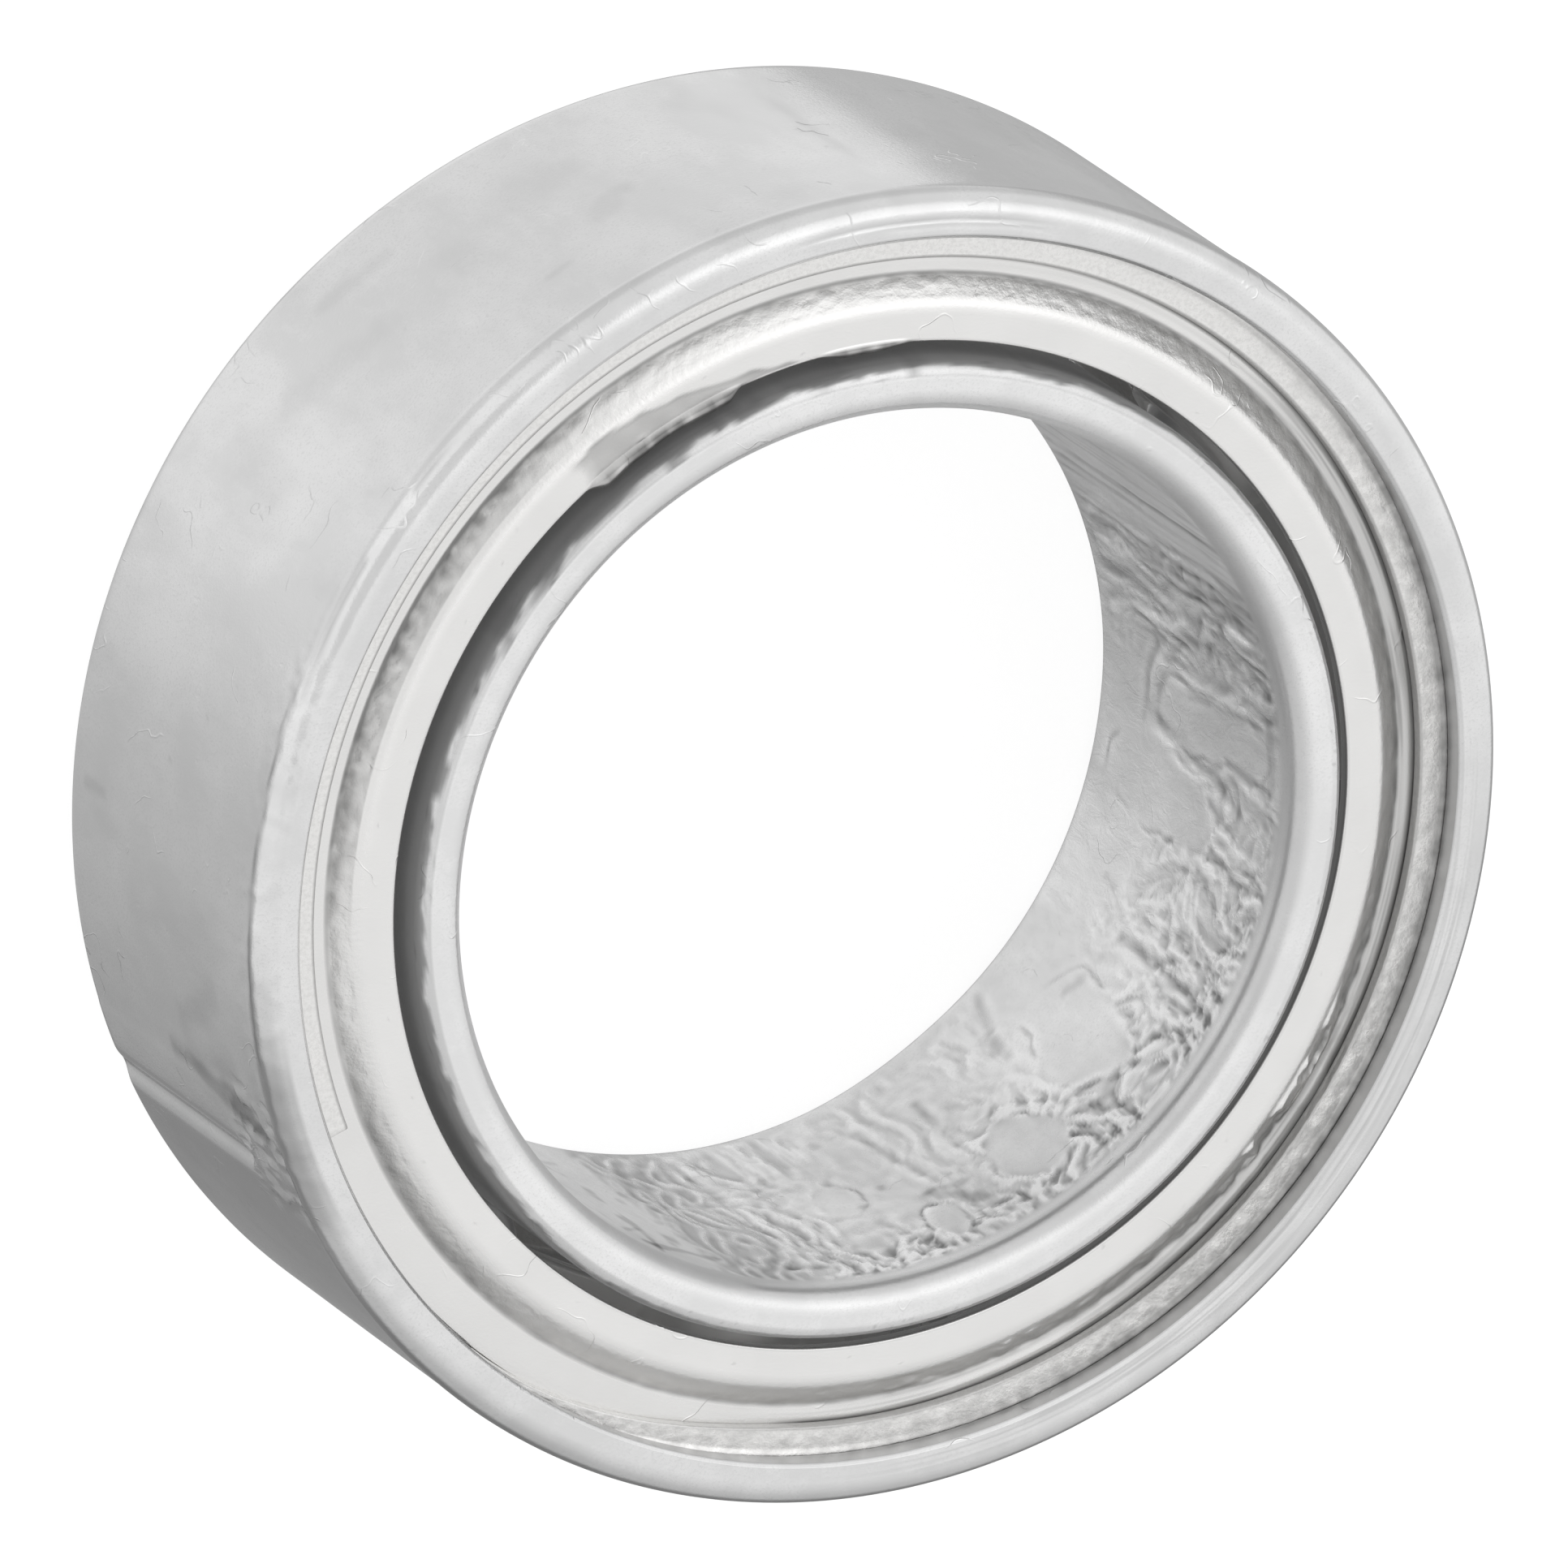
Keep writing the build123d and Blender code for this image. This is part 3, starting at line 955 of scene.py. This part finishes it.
def ring_steel(name, bore):
    """Hardened ring steel: ground faces with fine turning lines, and a polished outside or a bore with
    a dried film in it."""
    g = Graph(name)
    radius, angle, level = g.polar()
    on_face = g.mapped(g.math("ABSOLUTE", level), half_width - 0.02 * MM, half_width - 0.002 * MM)
    clouds = g.noise(0.9 * MM, (1, 1, 0.8), detail=5, roughness=0.6)
    smudges = g.mapped(g.noise(0.35 * MM, (1, 1, 0.35), detail=6, roughness=0.65), 0.42, 0.72)
    pores = g.noise(0.022 * MM, detail=3, roughness=0.65)
    lines = g.rings(0.012 * MM)
    nicks = g.mapped(g.noise(0.09 * MM, (1, 1, 0.6), detail=2, roughness=0.4), 0.3, 0.22)
    tone = g.math("SUBTRACT", g.mapped(clouds, 0.3, 0.7), g.times(smudges, 0.5), clamp=True)
    tone = g.math("SUBTRACT", tone, g.mapped(pores, 0.52, 0.7), clamp=True)
    color, stain_and_shade = stained_and_shaded(g, 0.24 if bore else 0.36, 0.94 if bore else 0.86, tone)
    side = g.plus(g.times(smudges, 0.06), 0.16 if bore else 0.07)
    side = g.plus(side, g.times(stain_and_shade, 0.34))
    face = g.plus(g.times(lines, 0.1), 0.2)
    if bore:
        sealed = g.mapped(radius, inner_land_radius - 0.03 * MM, inner_land_radius - 0.005 * MM)
        side = g.plus(side, g.times(sealed, 0.3))
        dry = g.plus(
            g.times(g.mapped(angle, radians(12), radians(34)), 1.9),
            g.times(g.mapped(angle, radians(-105), radians(-112)), 1.8),
        )
        inside = g.mapped(radius, bore_radius + 0.08 * MM, bore_radius + 0.03 * MM)
        side = g.plus(side, g.times(g.times(dry, inside), 0.22))
    roughness = g.node("Mix", 0, _0=on_face, _2=side, _3=face)
    normal = g.bump(nicks, -0.8 * UM)
    normal = g.bump(g.times(lines, on_face), 0.25 * UM, normal)
    normal = g.bump(pores, 1.2 * UM, normal)
    normal = g.bump(g.hairlines(), 2.2 * UM, normal)
    if bore:
        behind = g.mapped(level, 1.34 * MM, 1.24 * MM)
        film = g.noise(0.13 * MM, (1, 1, 0.5), detail=6, roughness=0.66, distortion=1.2)
        normal = g.bump(g.times(film, g.times(inside, behind)), 9 * UM, normal)
        # painted light: the land and raceway, dark inside the gap, glow faintly
        return g.finish(color, roughness, normal, glow=g.painted_glow(sealed))
    return g.finish(color, roughness, normal)


def shield_steel():
    """Satin pressed sheet, rougher where it was drawn over the slope."""
    g = Graph("shield_steel")
    radius, _, level = g.polar()
    sloped = g.times(
        g.mapped(radius, slope_top - 0.05 * MM, slope_top + 0.03 * MM),
        g.mapped(radius, slope_foot + 0.02 * MM, slope_foot - 0.03 * MM),
    )
    grain = g.noise(0.045 * MM, detail=4, roughness=0.6)
    fine = g.noise(0.02 * MM, detail=3, roughness=0.65)
    clouds = g.noise(0.5 * MM, detail=4)
    color, stain_and_shade = stained_and_shaded(g, 0.26, 0.92, clouds, warmth=0.012)
    roughness = g.plus(g.times(sloped, 0.1), g.mapped(clouds, 0.3, 0.7, 0.18, 0.26))
    roughness = g.plus(roughness, g.times(stain_and_shade, 0.3))
    normal = g.bump(g.times(grain, g.plus(g.times(sloped, 0.9), 0.1)), 4 * UM)
    normal = g.bump(g.rings(0.02 * MM), 0.35 * UM, normal)
    normal = g.bump(fine, 1.2 * UM, normal)
    normal = g.bump(g.hairlines(), 2.2 * UM, normal)
    depth = g.math("ABSOLUTE", level)
    # painted light: the shield's inner edge and the underside near it glow faintly
    edge = g.times(
        g.mapped(radius, shield_inner_radius + 0.03 * MM, shield_inner_radius + 0.01 * MM),
        g.mapped(depth, raised_level - 0.01 * MM, raised_level - 0.04 * MM),
    )
    return g.finish(color, roughness, normal, glow=g.painted_glow(edge))


def snap_ring_steel():
    """Coined flat wire with a pitted skin, with painted shade along its edges."""
    g = Graph("snap_ring_steel")
    pits = g.noise(0.032 * MM, detail=4, roughness=0.7)
    clouds = g.noise(0.3 * MM, detail=3)
    color, stain_and_shade = stained_and_shaded(g, 0.28, 0.9, g.mapped(pits, 0.35, 0.6), warmth=0.015)
    roughness = g.plus(g.mapped(clouds, 0.3, 0.7, 0.22, 0.32), g.times(stain_and_shade, 0.2))
    _, angle, _ = g.polar()
    coined = g.mapped(g.math("COSINE", g.math("SUBTRACT", angle, radians(-45))), -0.1, 0.5, 0.35, 1.0)
    normal = g.bump(g.times(pits, coined), 4.5 * UM)
    return g.finish(color, roughness, normal)


def cage_steel():
    """Tumbled ribbon steel."""
    g = Graph("cage_steel")
    peel = g.noise(0.06 * MM, detail=3)
    clouds = g.noise(0.4 * MM, detail=3)
    color = tint(g, 0.76, 0.86, clouds, warmth=0.02)
    roughness = g.mapped(clouds, 0.3, 0.7, 0.45, 0.55)
    # painted light: the whole cage glows faintly in the dark sealed space
    return g.finish(color, roughness, g.bump(peel, 1.2 * UM), glow=painted_glow_color)


def ball_steel():
    """Lapped steel under a thin, hazy coat of grease, with hairline marks."""
    g = Graph("ball_steel")
    haze = g.noise(0.25 * MM, detail=4)
    hairs = g.noise(0.05 * MM, (1, 0.1, 1), detail=2)
    color = tint(g, 0.8, 0.86, haze)
    roughness = g.mapped(haze, 0.35, 0.75, 0.28, 0.4)
    # painted light: the balls glow faintly in the dark sealed space
    return g.finish(color, roughness, g.bump(hairs, 0.05 * UM), glow=painted_glow_color)


# ---- the rings, shields and snap rings

outer_material = ring_steel("outer_ring_steel", bore=False)
inner_material = ring_steel("inner_ring_steel", bore=True)
shield_material = shield_steel()
snap_material = snap_ring_steel()

outer_ring = piece(
    "outer_ring_body", "outer", "ring_steel", outer_material,
    *swept(outer_section(), crowded(outer_columns, 55, 225, 0.75), outer_relief, outer_stain_and_shade),
)
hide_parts("outer_ring")
inner_ring = piece(
    "inner_ring_body", "inner", "ring_steel", inner_material,
    *swept(inner_section(), crowded(inner_columns, -128, 44, 0.77), inner_relief, inner_stain_and_shade),
)
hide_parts("inner_ring")

front_shield = shield_section()
front_snap = snap_section()
full_turn = crowded(shield_columns, 0, 360, 1.0)
for side in ("front", "back"):
    outline = front_shield if side == "front" else front_shield.mirrored()
    made = piece(
        f"{side}_shield", "outer", "shield_steel", shield_material,
        *swept(outline, full_turn, shield_relief, shield_stain_and_shade),
    )
    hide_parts(f"shield_{side}")
    outline = front_snap if side == "front" else front_snap.mirrored()
    first = snap_gap_start[side] + snap_gap
    turns = np.linspace(first, first + FULL_TURN - snap_gap, snap_columns)
    vertices, faces, stain_and_shade = swept(outline, turns, snap_relief, snap_stain_and_shade, whole=False)
    made = piece(
        f"{side}_snap_ring", "outer", "snap_ring_steel", snap_material, tapered(vertices, first), faces, stain_and_shade
    )
    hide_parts(f"snap_ring_{side}")

# ---- cage and balls

cage_material = cage_steel()
ball_material = ball_steel()


def cage_half(side):
    """The sheet's two skins over a grid of radius and angle, lifted into a cup over each ball, and the
    walls between them at the inner and outer edges."""
    rows, columns = 16, ball_count * 60
    radius = np.linspace(cage_inner_radius, cage_outer_radius, rows)
    angle = FULL_TURN * np.arange(columns) / columns
    from_ball = (angle + pitch_angle / 2) % pitch_angle - pitch_angle / 2
    away = np.hypot(
        radius[:, None] * np.cos(from_ball) - pitch_radius, radius[:, None] * np.sin(from_ball)
    )
    outer_skin = np.maximum(np.sqrt(np.maximum(cup_radius**2 - away**2, 0)), cage_sheet)
    inner_skin = np.sqrt(np.maximum(pocket_radius**2 - away**2, 0))
    skins = [
        np.stack((radius[:, None] * np.cos(angle), radius[:, None] * np.sin(angle), side * skin), -1)
        for skin in (outer_skin, inner_skin)
    ]
    ring = np.concatenate([skins[0], skins[1][::-1]])
    faces = grid_faces(2 * rows, columns, True, True)
    return ring.reshape(-1, 3), [face[::-1] for face in faces] if side > 0 else faces


def tab_box(angle):
    """A clip folded round the cage's outer edge: a C-shaped strip with rounded bends."""
    outer = cage_outer_radius + tab_thickness
    deep, high = cage_outer_radius - tab_reach, cage_sheet + tab_thickness
    edge, inner_bend = 0.01 * MM, 0.004 * MM
    corners = (
        (deep, -high, edge), (outer, -high, tab_thickness), (outer, high, tab_thickness), (deep, high, edge),
        (deep, cage_sheet, edge), (cage_outer_radius, cage_sheet, inner_bend),
        (cage_outer_radius, -cage_sheet, inner_bend), (deep, -cage_sheet, edge),
    )
    profile = section([corner + ("tab", MM) for corner in corners]).points
    across = np.array([-0.5, -0.46, 0.46, 0.5]) * tab_width
    pull = np.array([0.008, 0, 0, 0.008]) * MM
    rows = []
    for along, inset in zip(across, pull):
        shape = profile.copy()
        shape[:, 0] = np.clip(shape[:, 0], deep + inset, outer - inset)
        shape[:, 1] = np.clip(shape[:, 1], -high + inset, high - inset)
        x = shape[:, 0] * cos(angle) - along * sin(angle)
        y = shape[:, 0] * sin(angle) + along * cos(angle)
        rows.append(np.stack((x, y, shape[:, 1]), -1))
    count = len(profile)
    faces = [face[::-1] for face in grid_faces(len(across), count, False, True)]
    faces.append(list(range(count)))
    faces.append([(len(across) - 1) * count + n for n in reversed(range(count))])
    return np.concatenate(rows), faces


for side, up in (("front", 1), ("back", -1)):
    vertices, faces = cage_half(up)
    if up > 0:
        for n in range(ball_count):
            more, quads = tab_box((n + 0.5) * pitch_angle)
            faces += [[corner + len(vertices) for corner in quad] for quad in quads]
            vertices = np.concatenate((vertices, more))
    made = piece(f"{side}_cage_half", "cage", "cage_steel", cage_material, vertices, faces)
    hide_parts(f"cage_{side}")


def ball_mesh(centre):
    """A globe of even quads: a cube of 20 x 20 squares a side, pushed out to the ball's surface."""
    shape = bmesh.new()
    bmesh.ops.create_cube(shape, size=2.0)
    bmesh.ops.subdivide_edges(shape, edges=shape.edges, cuts=19, use_grid_fill=True)
    for vertex in shape.verts:
        at = Vector([tan(axis * pi / 4) for axis in vertex.co])
        vertex.co = Vector(centre) + at.normalized() * ball_radius
    vertices = [tuple(vertex.co) for vertex in shape.verts]
    faces = [[vertex.index for vertex in face.verts] for face in shape.faces]
    shape.free()
    return vertices, faces


for name in ball_names:
    low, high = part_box(name)
    made = piece(
        name.replace("ball", "rolling_ball"), name, "ball_steel", ball_material,
        *ball_mesh((low + high) / 2),
    )
    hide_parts(name)

# ---- surroundings


def build_world():
    """Pale surroundings: light from above and behind, dim below, with a darker board beside the bearing
    and the dark front of the camera."""
    world = bpy.data.worlds.new("studio")
    world.use_nodes = True
    bpy.context.scene.world = world
    g = Graph("studio", world.node_tree)
    direction = g.node("TexCoord", "Generated")
    x, y, z = g.split(direction)

    def ramp(value, stops):
        made = g.tree.nodes.new("ShaderNodeValToRGB")
        g.tree.links.new(value, made.inputs[0])
        bar = made.color_ramp
        while len(bar.elements) < len(stops):
            bar.elements.new(0.5)
        for element, (at, tone) in zip(bar.elements, stops):
            element.position = at
            element.color = grey(tone)
        return made.outputs[0]

    def facing(place):
        return g.node(
            "VectorMath", "Value", settings={"operation": "DOT_PRODUCT"}, _0=direction, _1=place
        )

    height = g.plus(g.times(y, 0.5), 0.5)
    below = ramp(height, (
        (0.0, 0.3), (0.24, 0.39), (0.33, 0.52), (0.415, 0.58), (0.5, 0.69), (0.59, 0.84), (0.67, 0.86),
        (0.76, 0.77), (1.0, 0.85),
    ))
    board = ramp(height, (
        (0.0, 0.22), (0.235, 0.27), (0.28, 0.285), (0.33, 0.4), (0.4, 0.5), (0.5, 0.54), (1.0, 0.56),
    ))
    across = g.math("SUBTRACT", g.times(x, 0.805), g.times(y, 0.594))
    on_board = g.mapped(across, 0.258, 0.266)
    below = g.blend(on_board, below, board)
    above = ramp(height, ((0.0, 0.62), (0.3, 0.84), (0.5, 0.98), (0.75, 1.0), (1.0, 1.0)))
    dark = g.mapped(facing(toward_camera), 0.88, 0.965)
    above = g.blend(g.times(dark, 0.28), above, grey(0.2))
    sky = g.blend(g.mapped(z, -0.45, -0.1), below, above)
    key = facing(Vector((0.41, 0.45, 0.8)).normalized())
    strength = g.plus(g.times(g.mapped(key, 0.86, 0.985), 0.3), 1.0)
    lit = g.node("Background", Color=sky, Strength=strength)
    seen = g.node("Background", Color=(1, 1, 1, 1), Strength=1.0)
    g.shown(g.node("MixShader", _0=g.node("LightPath", "Is Camera Ray"), _1=lit, _2=seen), "World")


def build_floor():
    """A wide, pale floor under the bearing."""
    reach = 1.2
    mesh = bpy.data.meshes.new("floor")
    corners = [(x * reach, y * reach, -half_width) for x, y in ((-1, -1), (1, -1), (1, 1), (-1, 1))]
    mesh.from_pydata(corners, [], [(0, 1, 2, 3)])
    floor = placed("floor", mesh)
    g = Graph("floor_paper")
    g.shown(g.node(
        "BsdfPrincipled", Base_Color=grey(0.3), Roughness=0.9, Emission_Color=grey(1), Emission_Strength=0.82
    ))
    mesh.materials.append(g.material)
    floor.visible_glossy = False


def build_camera():
    data = bpy.data.cameras.new("camera")
    data.sensor_width = film_width
    data.lens = film_width * camera_distance / view_width
    data.clip_start = 0.01
    data.clip_end = 2 * camera_distance
    camera = placed("camera", data)
    right = Vector((0, 1, 0)).cross(toward_camera).normalized()
    up = toward_camera.cross(right)
    turn = Matrix((right, up, toward_camera)).transposed().to_4x4()
    camera.matrix_world = Matrix.Translation(toward_camera * camera_distance) @ turn
    bpy.context.scene.camera = camera


build_world()
build_floor()
build_camera()
bpy.context.scene.view_settings.view_transform = "Standard"

bpy.context.view_layer.update()
